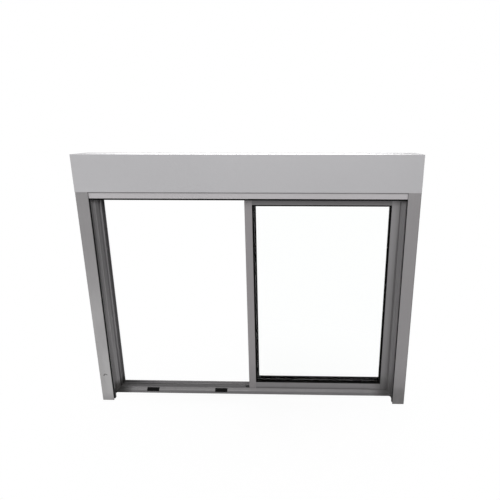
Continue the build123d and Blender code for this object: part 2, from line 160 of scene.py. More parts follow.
def grey(level, tint=(1.0, 1.0, 1.0)):
    # colour = level * tint
    return (level * tint[0], level * tint[1], level * tint[2], 1.0)


# dark colours laid over the finishes, for dirt and scuffs and for painted shade: brown for dirt on
# the track floors and for painted shade on the sill and jambs, dark, black and pale for painted
# shade, rub for painted shade with the curtain's rub in the guide slots, shade for a painted shadow
# line on the end slat
dirtAndShade = {
    "brown": grey(0.030, (1.0, 0.93, 0.84)),
    "dark": grey(0.030, (1.0, 0.95, 0.88)),
    "black": grey(0.026, (1.0, 0.95, 0.90)),
    "pale": grey(0.075, (1.0, 0.97, 0.93)),
    "rub": grey(0.020),
    "scuff": grey(0.045),
    "shade": grey(0.05, (1.0, 0.97, 0.93)),
}


def soiledAndShaded(mask, kind, colour, rough, height, dull=0.2):
    # the mask lays one dark colour over the colour and makes it duller; callers use it for dirt and
    # scuffs and for painted shade
    return mask.mixed(colour, dirtAndShade[kind]), rough + mask * dull, height


def upward(place):
    # 1 where the surface looks up, 0 where it stands
    normal = place.node("ShaderNodeNewGeometry", None, None, 1)
    return normal.axes()[2].ramp(0.5, 0.95)


def worn(place, radius):
    # 1 along edges: there the rounded normal turns away from the flat one
    flat = place.node("ShaderNodeNewGeometry", None, None, 1)
    rounded = place.node("ShaderNodeBevel", {"samples": 4}, {"Radius": radius})
    same = flat.node("ShaderNodeVectorMath", {"operation": "DOT_PRODUCT"}, {0: flat, 1: rounded}, 1)
    return (1.0 - same).ramp(0.004, 0.10)


def near(wire, value, reach=0.0004):
    # 1 where the wire is the value, 0 further from it than twice the reach
    return 1.0 - abs(wire - value).ramp(reach, 2.0 * reach)


# places read from the frame, in metres
guideLow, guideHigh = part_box("guide_right")
slotLow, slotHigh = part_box("guide_right_brushes")
sillLow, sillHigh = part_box("frame_sill")
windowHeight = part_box("box_front_panel")[0][2]
guideInner = guideLow[0]
sideOfFrame = sillHigh[0]


def belowSlot(depths):
    # heights that lie the given depths below the slot of the curtain
    return [windowHeight - depth for depth in depths]


# satin aluminium, extruded along one axis
silver = {
    "level": 0.275,
    "tint": (1.0, 0.968, 0.985),
    "metallic": 0.35,
    "roughness": 0.43,
    "lineCount": 1500.0,
    "lineBump": 0.06,
    "cloud": 0.07,
    "edge": 0.16,
    "dust": 0.20,
    "dustColour": grey(0.34, (1.0, 0.96, 0.90)),
}
alongSqueeze = {"x": (0.004, 1.0, 1.0), "y": (1.0, 0.004, 1.0), "z": (1.0, 1.0, 0.004)}


def silverSurface(name, along, change=None, extra=None):
    # colour = level * (1 + clouds + drawn lines), less smears and specks, dust where it looks up
    s = {**silver, **(change or {})}
    made, shader, place = newMaterial(name)
    squeeze = alongSqueeze[along]
    lines = place.stretched(*squeeze).noise(s["lineCount"], 2.0, 0.6)
    wide = place.stretched(*[3.0 * k if k < 1.0 else k for k in squeeze]).noise(140.0, 3.0, 0.55)
    clouds = place.noise(5.5, 4.0, 0.6)
    smears = place.stretched(1.0, 1.0, 0.35, (3.1, 1.7, 0.4)).noise(17.0, 5.0, 0.7).ramp(0.56, 0.74)
    specks = place.noise(430.0, 2.0, 0.5).ramp(0.66, 0.74)
    tone = 1.0 + (clouds - 0.5) * s["cloud"] + (wide - 0.5) * 0.10 + (lines - 0.5) * 0.09
    rubbed = worn(place, 0.0010) * clouds.ramp(0.35, 0.60)
    tone = tone * (1.0 - smears * 0.045) * (1.0 - specks * 0.10) * (1.0 + rubbed * s["edge"])
    dustMask = upward(place) * place.noise(38.0, 5.0, 0.65).ramp(0.38, 0.68) * s["dust"]
    colour = tone.tinting(grey(s["level"], s["tint"]))
    colour = dustMask.mixed(colour, s["dustColour"])
    rough = s["roughness"] + (wide - 0.5) * 0.16 + smears * 0.07 + dustMask * 0.5 - rubbed * 0.08
    height = lines * 0.6 + wide * 0.4
    if extra:
        colour, rough, height = extra(place, colour, rough, height)
    bump = height.bumped(s["lineBump"], 0.0006)
    feed(shader, {"Base Color": colour, "Roughness": rough, "Normal": bump})
    fix(shader, {"Metallic": s["metallic"]})
    return made


# painted shade inside and round the slot of a guide, with the curtain's rub
slotShadeAndRub = {
    "edge": 0.0016,
    "edgeDark": 0.72,
    "behind": 0.004,           # the edge behind the slot fades over this depth
    "insideDark": 0.80,
    "bottom": (0.026, 0.028),  # the rub ends at the bottom of the slot
    "soft": 0.0006,
    "foot": (0.010, 0.050),
    "footDark": 0.94,
}


def guideSlot(place, colour, rough, height):
    # painted shade inside the slot, on the thin edge in front of it and at its foot, blotched like
    # the curtain's rub
    s = slotShadeAndRub
    x, y, z = place.axes()
    inwards = abs(x) - guideInner
    edge = 1.0 - inwards.ramp(0.0, s["edge"])
    across = abs(y - (slotLow[1] + slotHigh[1]) / 2)
    half = (slotHigh[1] - slotLow[1]) / 2
    inside = (1.0 - across.ramp(half, half + s["soft"])) * (1.0 - inwards.ramp(*s["bottom"]))
    patches = place.stretched(1.0, 1.0, 0.1).noise(60.0, 4.0, 0.6).ramp(0.25, 0.6, 0.8, 1.0)
    behind = y.ramp(slotHigh[1], slotHigh[1] + s["behind"])
    rub = (edge * s["edgeDark"] * (1.0 - behind * 0.6)).most(inside * s["insideDark"]) * patches
    rub = rub.most(edge * (1.0 - z.ramp(*s["foot"])) * s["footDark"])
    return soiledAndShaded(rub, "rub", colour, rough, height, 0.25)


# rubbed mark low on the left guide: two short dark strokes that meet, and fine ones near them
scuff = {
    "strokes": [
        {"start": (-0.7235, 0.1210), "end": (-0.7300, 0.1105),
         "width": 0.0044, "soft": 0.0016, "dark": 1.00},
        {"start": (-0.7235, 0.1210), "end": (-0.7110, 0.1155),
         "width": 0.0038, "soft": 0.0016, "dark": 1.00},
        {"start": (-0.7265, 0.1390), "end": (-0.7215, 0.1345),
         "width": 0.0014, "soft": 0.0012, "dark": 0.45},
        {"start": (-0.7310, 0.1000), "end": (-0.7270, 0.0700),
         "width": 0.0012, "soft": 0.0040, "dark": 0.25},
    ],
    "depth": 0.85,
}


def strokeMask(x, z, s):
    # distance to a line from start to end, turned into 1 on the line and 0 away from it
    dx = s["end"][0] - s["start"][0]
    dz = s["end"][1] - s["start"][1]
    length = math.hypot(dx, dz)
    awayX = x - s["start"][0]
    awayZ = z - s["start"][1]
    across = abs(awayX * (dz / length) - awayZ * (dx / length))
    run = awayX * (dx / length) + awayZ * (dz / length)
    begun = run.ramp(-s["soft"], s["soft"])
    ended = run.ramp(length - s["soft"], length + s["soft"])
    return (1.0 - across.ramp(s["width"] * 0.4, s["width"])) * begun * (1.0 - ended) * s["dark"]


# painted light low on the left guide, and painted shade higher up where the box shades it
lowerGuideLight = {
    "rise": (-0.05, 0.03),
    "fade": (0.12, 0.80),
    "amount": 0.72,
    "colour": grey(0.52, (1.0, 0.985, 0.98)),
    "duller": (0.45, 0.62, 0.80, 0.95),   # a slightly darker stretch higher up
    "dullerAmount": 0.09,
}


def paintLowerGuideLight(place, colour):
    # pale painted light, strongest low down, that fades upwards and at the very foot, and a painted
    # shade on a stretch higher up
    s = lowerGuideLight
    z = place.axes()[2]
    band = z.ramp(*s["rise"]) * (1.0 - z.ramp(*s["fade"]))
    duller = z.ramp(*s["duller"][:2]) * (1.0 - z.ramp(*s["duller"][2:])) * s["dullerAmount"]
    # film is the mask of the painted light, patchy like a film
    film = band * place.stretched(1.0, 1.0, 0.3).noise(20.0, 4.0, 0.6).ramp(0.2, 0.7, 0.6, 1.0)
    return (film * s["amount"]).mixed((1.0 - duller).tinting(colour), s["colour"])


def paintLeftGuideLightShadeAndScuff(place, colour, rough, height):
    # painted light low down, painted shade and rub round the slot, then the scuff pressed a little
    # into the metal
    colour, rough, height = guideSlot(place, paintLowerGuideLight(place, colour), rough, height)
    x, y, z = place.axes()
    mask = strokeMask(x, z, scuff["strokes"][0])
    for stroke in scuff["strokes"][1:]:
        mask = mask.most(strokeMask(x, z, stroke))
    mask = mask * place.noise(900.0, 3.0, 0.6).ramp(0.30, 0.62, 0.45, 1.0) * scuff["depth"]
    return soiledAndShaded(mask, "scuff", colour, rough, height - mask * 1.2, 0.25)


# painted shade on the right guide: darker towards the foot and along its far corner
rightGuideShade = {
    "rise": (-0.03, 0.20),
    "riseDark": 0.36,
    "foot": (0.045, 0.080),
    "footDark": 0.23,
    "corner": (0.0042, 0.0015),   # from the far side of the guide
    "cornerDark": 0.72,
}


def paintRightGuideShade(place, colour, rough, height):
    # painted shade and rub round the slot, painted shade that thickens towards the foot, a painted
    # shade line on the far rounded corner
    s = rightGuideShade
    colour, rough, height = guideSlot(place, colour, rough, height)
    x, y, z = place.axes()
    low = (1.0 - z.ramp(*s["rise"])) * s["riseDark"] + (1.0 - z.ramp(*s["foot"])) * s["footDark"]
    grimeAndShade = low * place.stretched(1.0, 1.0, 0.4).noise(34.0, 4.0, 0.6).ramp(0.15, 0.6, 0.7, 1.0)
    corner = x.ramp(*[guideHigh[0] - k for k in s["corner"]]) * s["cornerDark"]
    return soiledAndShaded(grimeAndShade.most(corner), "pale", colour, rough, height)


# the frame: tracks stained on their floor; the rails' tops painted darker and their faces and the
# nose painted lighter, as painted shade and light
# depths of its faces from front to back, then heights, then stretches along the sill
frameFaces = {
    "front": -0.0400,
    "slope": (-0.0392, -0.0288),
    "frontRail": -0.0143,
    "middleWall": 0.0031,
    "backRail": 0.0197,
    "railTop": (0.0311, 0.0317),
    "railRise": (0.0190, 0.0300),
    "besideStile": 0.6718,
    "leftRails": (-0.64, -0.42),
    "leftWall": (-0.60, -0.26),
    "leftLedge": (-0.665, -0.600),
}
# painted light (+) and painted shade (-) on the faces of the sill
sillLightAndShade = {
    "lip": 0.24,
    "frontRail": (1.50, 0.26),
    "middleWall": (-0.20, 0.50),
    "backRail": 1.30,
    "railTop": -0.42,
}
# painted shade at both ends of the sill, thickest at the left, and under the lip; floorDark is dirt
# on the floor of the tracks
sillGrimeAndShade = {
    "floorDark": 0.5,
    "ends": (0.125, 0.03),     # from the side of the frame, as the next ones
    "endsDark": 0.78,
    "cakeEdge": 0.084,
    "cakeDark": 0.42,
    "cakeDeep": (0.085, 0.03),
    "deepDark": 0.44,
    "underLip": 0.12,
    "endShade": 0.68,
}


def paintSillGrimeLightAndShade(place, colour, rough, height):
    # colour * painted light and shade of each face, then grime on the floor of the tracks,
    # painted shade at both ends, heaviest at the left one, under the lip and on the left ledge
    f, t, g = frameFaces, sillLightAndShade, sillGrimeAndShade
    x, y, z = place.axes()
    leftRails = 1.0 - x.ramp(*f["leftRails"])
    # painted light on the rail faces and the middle wall, painted shade on the rail tops
    rise = z.ramp(*f["railRise"], *t["frontRail"])
    tone = 1.0 + near(y, f["frontRail"]) * rise * (1.0 - leftRails * z.ramp(0.0235, 0.0265))
    tone = tone + near(y, f["backRail"]) * t["backRail"] * (1.0 - leftRails)
    tone = tone + near(y, f["middleWall"]) * x.ramp(*f["leftWall"], *t["middleWall"])
    tone = tone * (1.0 + z.ramp(*f["railTop"]) * t["railTop"])
    # painted highlight along the lip of the ledge
    lip = (1.0 - z.ramp(0.0190, 0.0215)) * z.ramp(0.0150, 0.0165) * (1.0 - y.ramp(-0.030, -0.028))
    tone = tone * (1.0 + lip * (1.0 - x.ramp(-0.05, 0.05)) * t["lip"])
    colour = tone.tinting(colour)
    low = (1.0 - z.ramp(0.008, 0.020)) * y.ramp(-0.029, -0.026)
    blotches = place.noise(26.0, 5.0, 0.7)
    side = abs(x) - sideOfFrame
    # painted shade at both ends, where the guides and jambs shade the sill
    end = side.ramp(*[-k for k in g["ends"]]) * x.ramp(-0.2, 0.2, 0.85, 1.0)
    end = end * blotches.ramp(0.30, 0.52, 0.35, 1.0) * g["endsDark"]
    grimeAndShade = (low * blotches.ramp(0.32, 0.62) * g["floorDark"]).most(end)
    # painted shade on the left end of the sill
    leftEndShade = (side + g["cakeEdge"] - (blotches - 0.5) * 0.02).ramp(-0.004, 0.006, 0.0, g["cakeDark"])
    leftEndShade = leftEndShade + side.ramp(*[-k for k in g["cakeDeep"]]) * g["deepDark"]
    leftEndShade = leftEndShade * (1.0 - y.ramp(-0.030, -0.027, 0.0, 0.45)) * (1.0 - x.ramp(-0.2, 0.2))
    grimeAndShade = grimeAndShade.most(leftEndShade * blotches.ramp(0.25, 0.55, 0.85, 1.0))
    # painted shade under the lip
    underLip = (1.0 - z.ramp(0.009, 0.016)) * (1.0 - y.ramp(-0.039, -0.037)) * g["underLip"]
    colour = grimeAndShade.most(underLip).mixed(colour, dirtAndShade["brown"])
    endShade = (1.0 - x.ramp(*f["leftLedge"])) * (1.0 - y.ramp(-0.030, -0.027)) * g["endShade"]
    return (1.0 - endShade).tinting(colour), rough + grimeAndShade * 0.25, height


# painted light and shade on the jambs' faces, nearly all for the left one, which shows them
jambLightAndShade = {
    "front": 0.42,
    "slope": -0.20,
    "lowSlope": 0.26,
    "frontRail": 0.95,
    "railTip": -0.32,
    "besideGuide": 0.32,
    "leftJamb": 0.12,
    "leftUpper": -0.28,
}
# painted shade on the jambs: towards the foot, in the corner, under the box and in the gap beside
# the stile; streaks are paler streaks on the metal
jambShadeAndStreaks = {
    "low": (0.10, 0.75),       # left and right jamb
    "corner": 0.72,
    "foot": 0.14,
    "leftFoot": 0.90,
    "under": (0.062, 0.020),   # heights below the curtain's slot
    "underDark": (0.78, 0.55),
    "seam": 0.5,
    "streaks": 0.08,
}


def paintJambLightAndShade(place, colour, rough, height):
    # painted light and shade: the left jamb's faces evened out, both jambs painted darker in the
    # shade under the box and towards the foot, a painted shadow line beside the stile
    f, t, g = frameFaces, jambLightAndShade, jambShadeAndStreaks
    x, y, z = place.axes()
    left = 1.0 - x.ramp(-0.2, 0.2)
    slopeStart, slopeEnd = f["slope"]
    slope = y.ramp(slopeStart - 0.0005, slopeStart) * (1.0 - y.ramp(slopeEnd, slopeEnd + 0.0005))
    # painted light and shade on each face
    upper = z.ramp(0.05, 0.35, 0.2, 1.0)
    tone = upper * near(y, f["front"]) * t["front"]
    tone = tone + slope * (1.0 - z.ramp(0.16, 0.34)) * t["lowSlope"] + slope * t["slope"]
    tone = tone + upper * near(y, f["frontRail"]) * t["frontRail"]
    tip = near(y, f["frontRail"] + 0.0014, 0.0012) * (1.0 - abs(x).ramp(0.6652, 0.6664))
    tone = tone + t["leftJamb"] + z.ramp(0.30, 0.75) * t["leftUpper"] + tip * t["railTip"]
    tone = 1.0 + left * tone
    tone = tone + x.ramp(0.683, 0.692) * z.ramp(0.1, 0.3) * t["besideGuide"]
    colour = tone.tinting(colour)
    # painted shade towards the foot, in the corner and under the box
    low = (1.0 - z.ramp(0.01, 0.17)) * x.ramp(-0.2, 0.2, *g["low"])
    corner = (1.0 - z.ramp(0.024, 0.060)) * g["corner"] + (1.0 - z.ramp(0.0, 0.02)) * g["foot"]
    under = z.ramp(*belowSlot(g["under"])) * x.ramp(-0.2, 0.2, *g["underDark"])
    blotches = place.stretched(1.0, 1.0, 0.5).noise(24.0, 5.0, 0.7).ramp(0.20, 0.60, 0.70, 1.0)
    # painted shadow line in the gap beside the stile
    seam = near(x, f["besideStile"], 0.0012) * z.ramp(0.05, 0.12) * g["seam"]
    grimeAndShade = low.most(corner).most(under) * blotches
    grimeAndShade = grimeAndShade.most(left * (1.0 - z.ramp(0.038, 0.080)) * g["leftFoot"]).most(seam)
    streaks = place.stretched(1.0, 1.0, 0.03).noise(120.0, 3.0, 0.6).ramp(0.52, 0.70)
    colour = (streaks * g["streaks"]).mixed(colour, grey(0.32))
    return soiledAndShaded(grimeAndShade, "brown", colour, rough, height)


headShade = {"rise": (0.040, 0.015), "dark": 0.30}


def paintHeadShade(place, colour, rough, height):
    # painted shade under the box that thickens towards the slot of the curtain
    grimeAndShade = place.axes()[2].ramp(*belowSlot(headShade["rise"])) * headShade["dark"]
    return soiledAndShaded(grimeAndShade, "dark", colour, rough, height)


bottomRailShade = {"foot": (0.028, 0.042), "footDark": 0.46, "end": (0.585, 0.640), "endDark": 0.45}


def paintBottomRailShade(place, colour, rough, height):
    # painted shade along the foot and at the end beside the jamb
    s = bottomRailShade
    x, y, z = place.axes()
    blotches = place.stretched(0.3, 1.0, 1.0).noise(30.0, 4.0, 0.65).ramp(0.2, 0.6, 0.7, 1.0)
    foot = (1.0 - z.ramp(*s["foot"])) * s["footDark"]
    grimeAndShade = foot.most(x.ramp(*s["end"]) * s["endDark"]) * blotches
    return soiledAndShaded(grimeAndShade, "dark", colour, rough, height)


meetingShade = {"fade": (0.03, 0.22), "dark": 0.24}


def paintMeetingShade(place, colour, rough, height):
    # blotched painted shade that thickens towards the foot
    low = 1.0 - place.axes()[2].ramp(*meetingShade["fade"])
    grimeAndShade = low * place.noise(30.0, 4.0, 0.6).ramp(0.2, 0.6, 0.7, 1.0) * meetingShade["dark"]
    return soiledAndShaded(grimeAndShade, "dark", colour, rough, height)


# painted light on the upper stile; painted shade at the foot, beside the guide and in the gap
# beside the jamb's nose
closingLightAndShade = {
    "upper": (0.45, 0.90),
    "upperTone": 0.18,
    "foot": (0.035, 0.14),
    "footDark": 0.46,
    "low": (0.05, 0.42),
    "lowDark": 0.17,
    "side": (0.648, 0.667),
    "sideDark": 0.20,
    "line": (0.6640, 0.6660),
    "lineFade": (0.70, 0.95),
    "lineDark": 0.52,
}


def paintClosingLightAndShade(place, colour, rough, height):
    # painted shade: a dark shadow line beside the nose of the jamb, a shade next to it and a shade
    # that thickens downwards; the upper part painted lighter
    s = closingLightAndShade
    x, y, z = place.axes()
    across = abs(x)
    blotches = place.stretched(1.0, 1.0, 0.4).noise(28.0, 4.0, 0.65).ramp(0.2, 0.6, 0.75, 1.0)
    colour = (1.0 + z.ramp(*s["upper"]) * s["upperTone"]).tinting(colour)
    foot = (1.0 - z.ramp(*s["foot"])) * s["footDark"] + (1.0 - z.ramp(*s["low"])) * s["lowDark"]
    side = across.ramp(*s["side"]) * s["sideDark"]
    line = across.ramp(*s["line"]) * (1.0 - z.ramp(*s["lineFade"]) * 0.6) * s["lineDark"]
    return soiledAndShaded(((foot + side) * blotches).most(line), "black", colour, rough, height)


# lacquered sheet: satin coat, slow waves, fine peel
lacquer = {
    "level": 0.525,
    "tint": (1.0, 0.984, 1.004),
    "roughness": 0.36,
    "coat": 0.25,
    "wave": 0.0010,
    "dust": 0.12,
    "dustColour": grey(0.42, (1.0, 0.97, 0.92)),
    # shade: heights of a painted shadow line cast by an edge above
    "shade": None,             # heights between which a dark line rises, where there is one
    "shadeDark": 0.0,
}


def lacquerSurface(name, change=None):
    # colour = level * (1 + broad clouds), less drips and scratches; a painted shadow line along a
    # top edge, where one is given
    s = {**lacquer, **(change or {})}
    made, shader, place = newMaterial(name)
    broad = place.stretched(1.0, 1.0, 1.6).noise(2.2, 3.0, 0.5)
    fine = place.noise(60.0, 4.0, 0.6)
    peel = place.noise(950.0, 2.0, 0.5)
    wave = place.stretched(0.25, 1.0, 1.0).noise(4.0, 1.0, 0.4)
    drops = place.stretched(1.0, 1.0, 0.12).noise(46.0, 4.0, 0.65).ramp(0.60, 0.78)
    scratches = place.stretched(0.06, 1.0, 1.0, (0.7, 0.2, 5.0)).noise(210.0, 2.0, 0.5)
    scratches = scratches.ramp(0.715, 0.75)
    dustMask = upward(place) * place.noise(30.0, 5.0, 0.65).ramp(0.34, 0.70) * s["dust"]
    tone = 1.0 + (broad - 0.5) * 0.07 + (fine - 0.5) * 0.03 - drops * 0.02 - scratches * 0.05
    tone = tone * (1.0 + worn(place, 0.0012) * fine.ramp(0.40, 0.60) * 0.05)
    colour = tone.tinting(grey(s["level"], s["tint"]))
    colour = dustMask.mixed(colour, s["dustColour"])
    rough = s["roughness"] + (fine - 0.5) * 0.12 + drops * 0.10 + dustMask * 0.4
    # painted shadow line cast by the edge above
    if s["shade"]:
        z = place.axes()[2]
        line = z.ramp(*s["shade"]) * s["shadeDark"]
        line = line * place.stretched(0.2, 1.0, 1.0).noise(40.0, 4.0, 0.6).ramp(0.2, 0.6, 0.7, 1.0)
        colour = line.mixed(colour, dirtAndShade["shade"])
    bump = (peel * 0.12 + wave * 3.0 - scratches * 0.2).bumped(0.25, s["wave"])
    feed(shader, {"Base Color": colour, "Roughness": rough, "Normal": bump})
    fix(shader, {"Metallic": 0.08, "Coat Weight": s["coat"], "Coat Roughness": 0.22})
    return made


def rubberSurface(name, level=0.004, roughness=0.72, dust=0.05):
    # near black with a fine grain, paler dust in patches
    made, shader, place = newMaterial(name)
    grain = place.noise(1300.0, 2.0, 0.6)
    patches = place.noise(28.0, 5.0, 0.65).ramp(0.45, 0.75)
    colour = (patches * dust).mixed(grey(level), grey(0.030, (1.0, 0.97, 0.93)))
    rough = roughness + (grain - 0.5) * 0.12 + patches * 0.12
    feed(shader, {"Base Color": colour, "Roughness": rough, "Normal": grain.bumped(0.06, 0.0002)})
    fix(shader, {"Specular IOR Level": 0.05})
    return made


def plasticSurface(name, level=0.003):
    # moulded black: soft sheen, faint flow clouds and a spark-eroded grain
    made, shader, place = newMaterial(name)
    grain = place.noise(2100.0, 2.0, 0.6)
    flow = place.stretched(0.4, 1.0, 1.0).noise(50.0, 4.0, 0.6)
    colour = (0.8 + flow * 0.5).tinting(grey(level, (1.0, 1.0, 1.03)))
    rough = 0.46 + flow * 0.16
    feed(shader, {"Base Color": colour, "Roughness": rough, "Normal": grain.bumped(0.06, 0.0002)})
    fix(shader, {"Specular IOR Level": 0.06})
    return made


def pileSurface(name):
    # tufts: single hairs a little paler, rougher in patches
    made, shader, place = newMaterial(name)
    hairs = place.noise(2600.0, 3.0, 0.7)
    patches = place.noise(90.0, 3.0, 0.6)
    colour = hairs.ramp(0.35, 0.70).mixed(grey(0.006), grey(0.030))
    rough = 0.78 + (patches - 0.5) * 0.2
    feed(shader, {"Base Color": colour, "Roughness": rough, "Normal": hairs.bumped(0.5, 0.0004)})
    fix(shader, {"Specular IOR Level": 0.10, "Sheen Weight": 0.05})
    return made


def zincSurface(name):
    # spangle cells shift the grey a little, clouds on top
    made, shader, place = newMaterial(name)
    spread = {"Vector": place, "Scale": 110.0}
    cells = place.node("ShaderNodeTexVoronoi", {"feature": "F1"}, spread, 1)
    cell = cells.node("ShaderNodeSeparateColor", None, {0: cells})
    clouds = place.noise(9.0, 4.0, 0.6)
    colour = (0.30 + cell * 0.10 + (clouds - 0.5) * 0.08).tinting((1.0, 1.005, 1.02, 1.0))
    rough = 0.34 + cell * 0.12
    feed(shader, {"Base Color": colour, "Roughness": rough, "Normal": cell.bumped(0.05, 0.0005)})
    fix(shader, {"Metallic": 0.9})
    return made


def glassSurface(name):
    # clear body, roughness rises a little in wiped arcs and specks
    made, shader, place = newMaterial(name)
    wiped = place.stretched(1.0, 1.0, 0.45).noise(7.0, 5.0, 0.62).ramp(0.52, 0.78)
    specks = place.noise(320.0, 1.0, 0.4).ramp(0.74, 0.80)
    feed(shader, {"Roughness": 0.004 + wiped * 0.012 + specks * 0.05})
    fix(shader, {"Base Color": (0.998, 1.0, 0.999, 1.0), "Transmission Weight": 1.0, "IOR": 1.12})
    return made


# the silver finishes are one aluminium; their lower levels for the jambs, head, bottom rail, sill
# and closing stile paint them in the shade of the box and guides
finishes = {
    "boxLacquer": lacquerSurface("boxLacquer"),
    "lidLacquer": lacquerSurface("lidLacquer", {"wave": 0.00015, "dust": 0.05}),
    # the end slat gets a painted shadow line just below the front of the box
    "slatLacquer": lacquerSurface("slatLacquer", {
        "level": 0.545, "tint": (1.0, 0.965, 0.984), "roughness": 0.40, "coat": 0.15,
        "wave": 0.0004, "shade": belowSlot((0.0085, 0.001)), "shadeDark": 0.75,
    }),
    "silverMeeting": silverSurface(
        "silverMeeting", "z", {"level": 0.295, "tint": (1.0, 0.945, 0.962)}, paintMeetingShade),
    "silverClosing": silverSurface("silverClosing", "z", {"level": 0.225}, paintClosingLightAndShade),
    "silverLeftGuide": silverSurface(
        "silverLeftGuide", "z", {"level": 0.274, "tint": (1.0, 0.966, 0.978)}, paintLeftGuideLightShadeAndScuff),
    "silverGuide": silverSurface(
        "silverGuide", "z", {"level": 0.298, "tint": (1.0, 0.958, 0.972)}, paintRightGuideShade),
    "silverJamb": silverSurface("silverJamb", "z", {"level": 0.19}, paintJambLightAndShade),
    "silverHead": silverSurface("silverHead", "x", {"level": 0.185}, paintHeadShade),
    "silverBottom": silverSurface("silverBottom", "x", {"level": 0.205}, paintBottomRailShade),
    "silverSill": silverSurface("silverSill", "x", {"level": 0.17, "dust": 0.15}, paintSillGrimeLightAndShade),
    "blackRubber": rubberSurface("blackRubber"),
    "blackSealant": rubberSurface("blackSealant", 0.012, 0.5, 0.35),
    "blackPlastic": plasticSurface("blackPlastic"),
    "spacerBlack": plasticSurface("spacerBlack", 0.012),
    "dustyPlastic": plasticSurface("dustyPlastic", 0.050),
    "pile": pileSurface("pile"),
    "zinc": zincSurface("zinc"),
    "clearGlass": glassSurface("clearGlass"),
}

nodeFinish = {
    "guide_left": "silverLeftGuide",
    "guide_right": "silverGuide",
    "guide_left_brushes": "pile",
    "guide_right_brushes": "pile",
    "frame_head": "silverHead",
    "frame_jamb_left": "silverJamb",
    "frame_jamb_right": "silverJamb",
    "shutter_tube": "zinc",
    "shutter_curtain": "slatLacquer",
    "shutter_end_slat": "slatLacquer",
    "shutter_seal": "blackRubber",
    "drain_cap_1": "blackPlastic",
    "drain_cap_2": "blackPlastic",
}
for name in ("front_panel", "back_panel", "top_panel", "bottom_panel", "end_left", "end_right"):
    nodeFinish["box_" + name] = "lidLacquer" if name == "top_panel" else "boxLacquer"
for name in ("frame_sill", "sill_ledge", "sill_rails", "sill_walls"):
    nodeFinish[name] = "silverSill"
sashFinish = {
    "closing_stile": "silverClosing",
    "meeting_stile": "silverMeeting",
    "top_rail": "silverHead",
    "bottom_rail": "silverBottom",
    "front_pane": "clearGlass",
    "back_pane": "clearGlass",
    "glass_spacer": "spacerBlack",
    "gasket": "blackRubber",
    "rollers": "blackPlastic",
    "pile_strips": "pile",
    "latch": "blackPlastic",
}
sashes = ("outer_sash_", "inner_sash_")
for sash in sashes:
    for name, finish in sashFinish.items():
        nodeFinish[sash + name] = finish

for name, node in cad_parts.items():
    finish = finishes[nodeFinish[name]]
    for meshSlot in node.material_slots:
        meshSlot.material = finish
    if not node.material_slots:
        node.data.materials.append(finish)
print("finishes set on", len(nodeFinish), "nodes")


def meshFrom(name, points, faces, smooth):
    # points and faces as arrays, put into a mesh in one go, doubled points merged
    mesh = bpy.data.meshes.new(name)
    corners = faces.shape[1]
    mesh.vertices.add(len(points))
    mesh.vertices.foreach_set("co", points.astype(np.float32).ravel())
    mesh.loops.add(faces.size)
    mesh.loops.foreach_set("vertex_index", faces.astype(np.int32).ravel())
    mesh.polygons.add(len(faces))
    mesh.polygons.foreach_set("loop_start", np.arange(0, faces.size, corners, dtype=np.int32))
    mesh.update(calc_edges=True)
    edit = bmesh.new()
    edit.from_mesh(mesh)
    bmesh.ops.remove_doubles(edit, verts=edit.verts, dist=1e-7)
    bmesh.ops.recalc_face_normals(edit, faces=edit.faces)
    edit.to_mesh(mesh)
    edit.free()
    mesh.polygons.foreach_set("use_smooth", np.full(len(mesh.polygons), smooth))
    return mesh


def addPiece(name, points, faces, finish, smooth=True):
    # a visible piece with its finish, fixed to the window's one body
    piece = bpy.data.objects.new(name, meshFrom(name, points, faces, smooth))
    bpy.context.scene.collection.objects.link(piece)
    piece.data.materials.append(finishes[finish])
    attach(piece, "root")
    return piece


def gridFaces(rows, columns, closed):
    # quads between neighbouring rows, the last column joined to the first where closed
    row = np.arange(rows - 1)[:, None]
    column = np.arange(columns if closed else columns - 1)[None, :]
    after = (column + 1) % columns
    a = row * columns + column
    b = row * columns + after
    return np.stack([a, b, b + columns, a + columns], axis=-1).reshape(-1, 4)


def repeated(points, faces, frames):
    # one copy of the grid for each (origin, x direction, y direction, z direction)
    turned = [points @ np.array(basis, dtype=float) + np.array(origin) for origin, basis in frames]
    shifted = [faces + number * len(points) for number in range(len(frames))]
    return np.concatenate(turned), np.concatenate(shifted)


# screws with a cross recess
screwHead = {
    "radius": 0.0042,
    "height": 0.0021,
    "slot": 0.00055,
    "slotLength": 0.0026,
    "depth": 0.0014,
    "sunk": 0.0002,
}


def screwSurface(scale):
    # height over (ring r, turn t) = dome, less a cross of two narrow soft slots in the middle
    s = screwHead
    rings = np.concatenate([np.linspace(0.0, 0.72, 22), np.linspace(0.76, 1.0, 9), [1.0]])
    turns = np.linspace(0.0, 2.0 * np.pi, 64, endpoint=False)
    r, t = np.meshgrid(rings, turns, indexing="ij")
    x = s["radius"] * r * np.cos(t)
    y = s["radius"] * r * np.sin(t)
    dome = s["height"] * (0.30 + 0.70 * np.sqrt(np.clip(1.0 - r ** 4, 0.0, 1.0)))
    wide = [1.0 / (1.0 + np.exp((np.abs(v) - s["slot"]) / 0.00007)) for v in (x, y)]
    long = [1.0 / (1.0 + np.exp((np.abs(v) - s["slotLength"]) / 0.00012)) for v in (y, x)]
    z = dome - np.maximum(wide[0] * long[0], wide[1] * long[1]) * s["depth"]
    z[-1] = -s["sunk"]
    points = np.stack([x, y, z], axis=-1).reshape(-1, 3) * scale
    return points, gridFaces(len(rings), len(turns), True)


coverScrews = {"count": 6, "fromEnd": 0.060, "fromBack": 0.012}


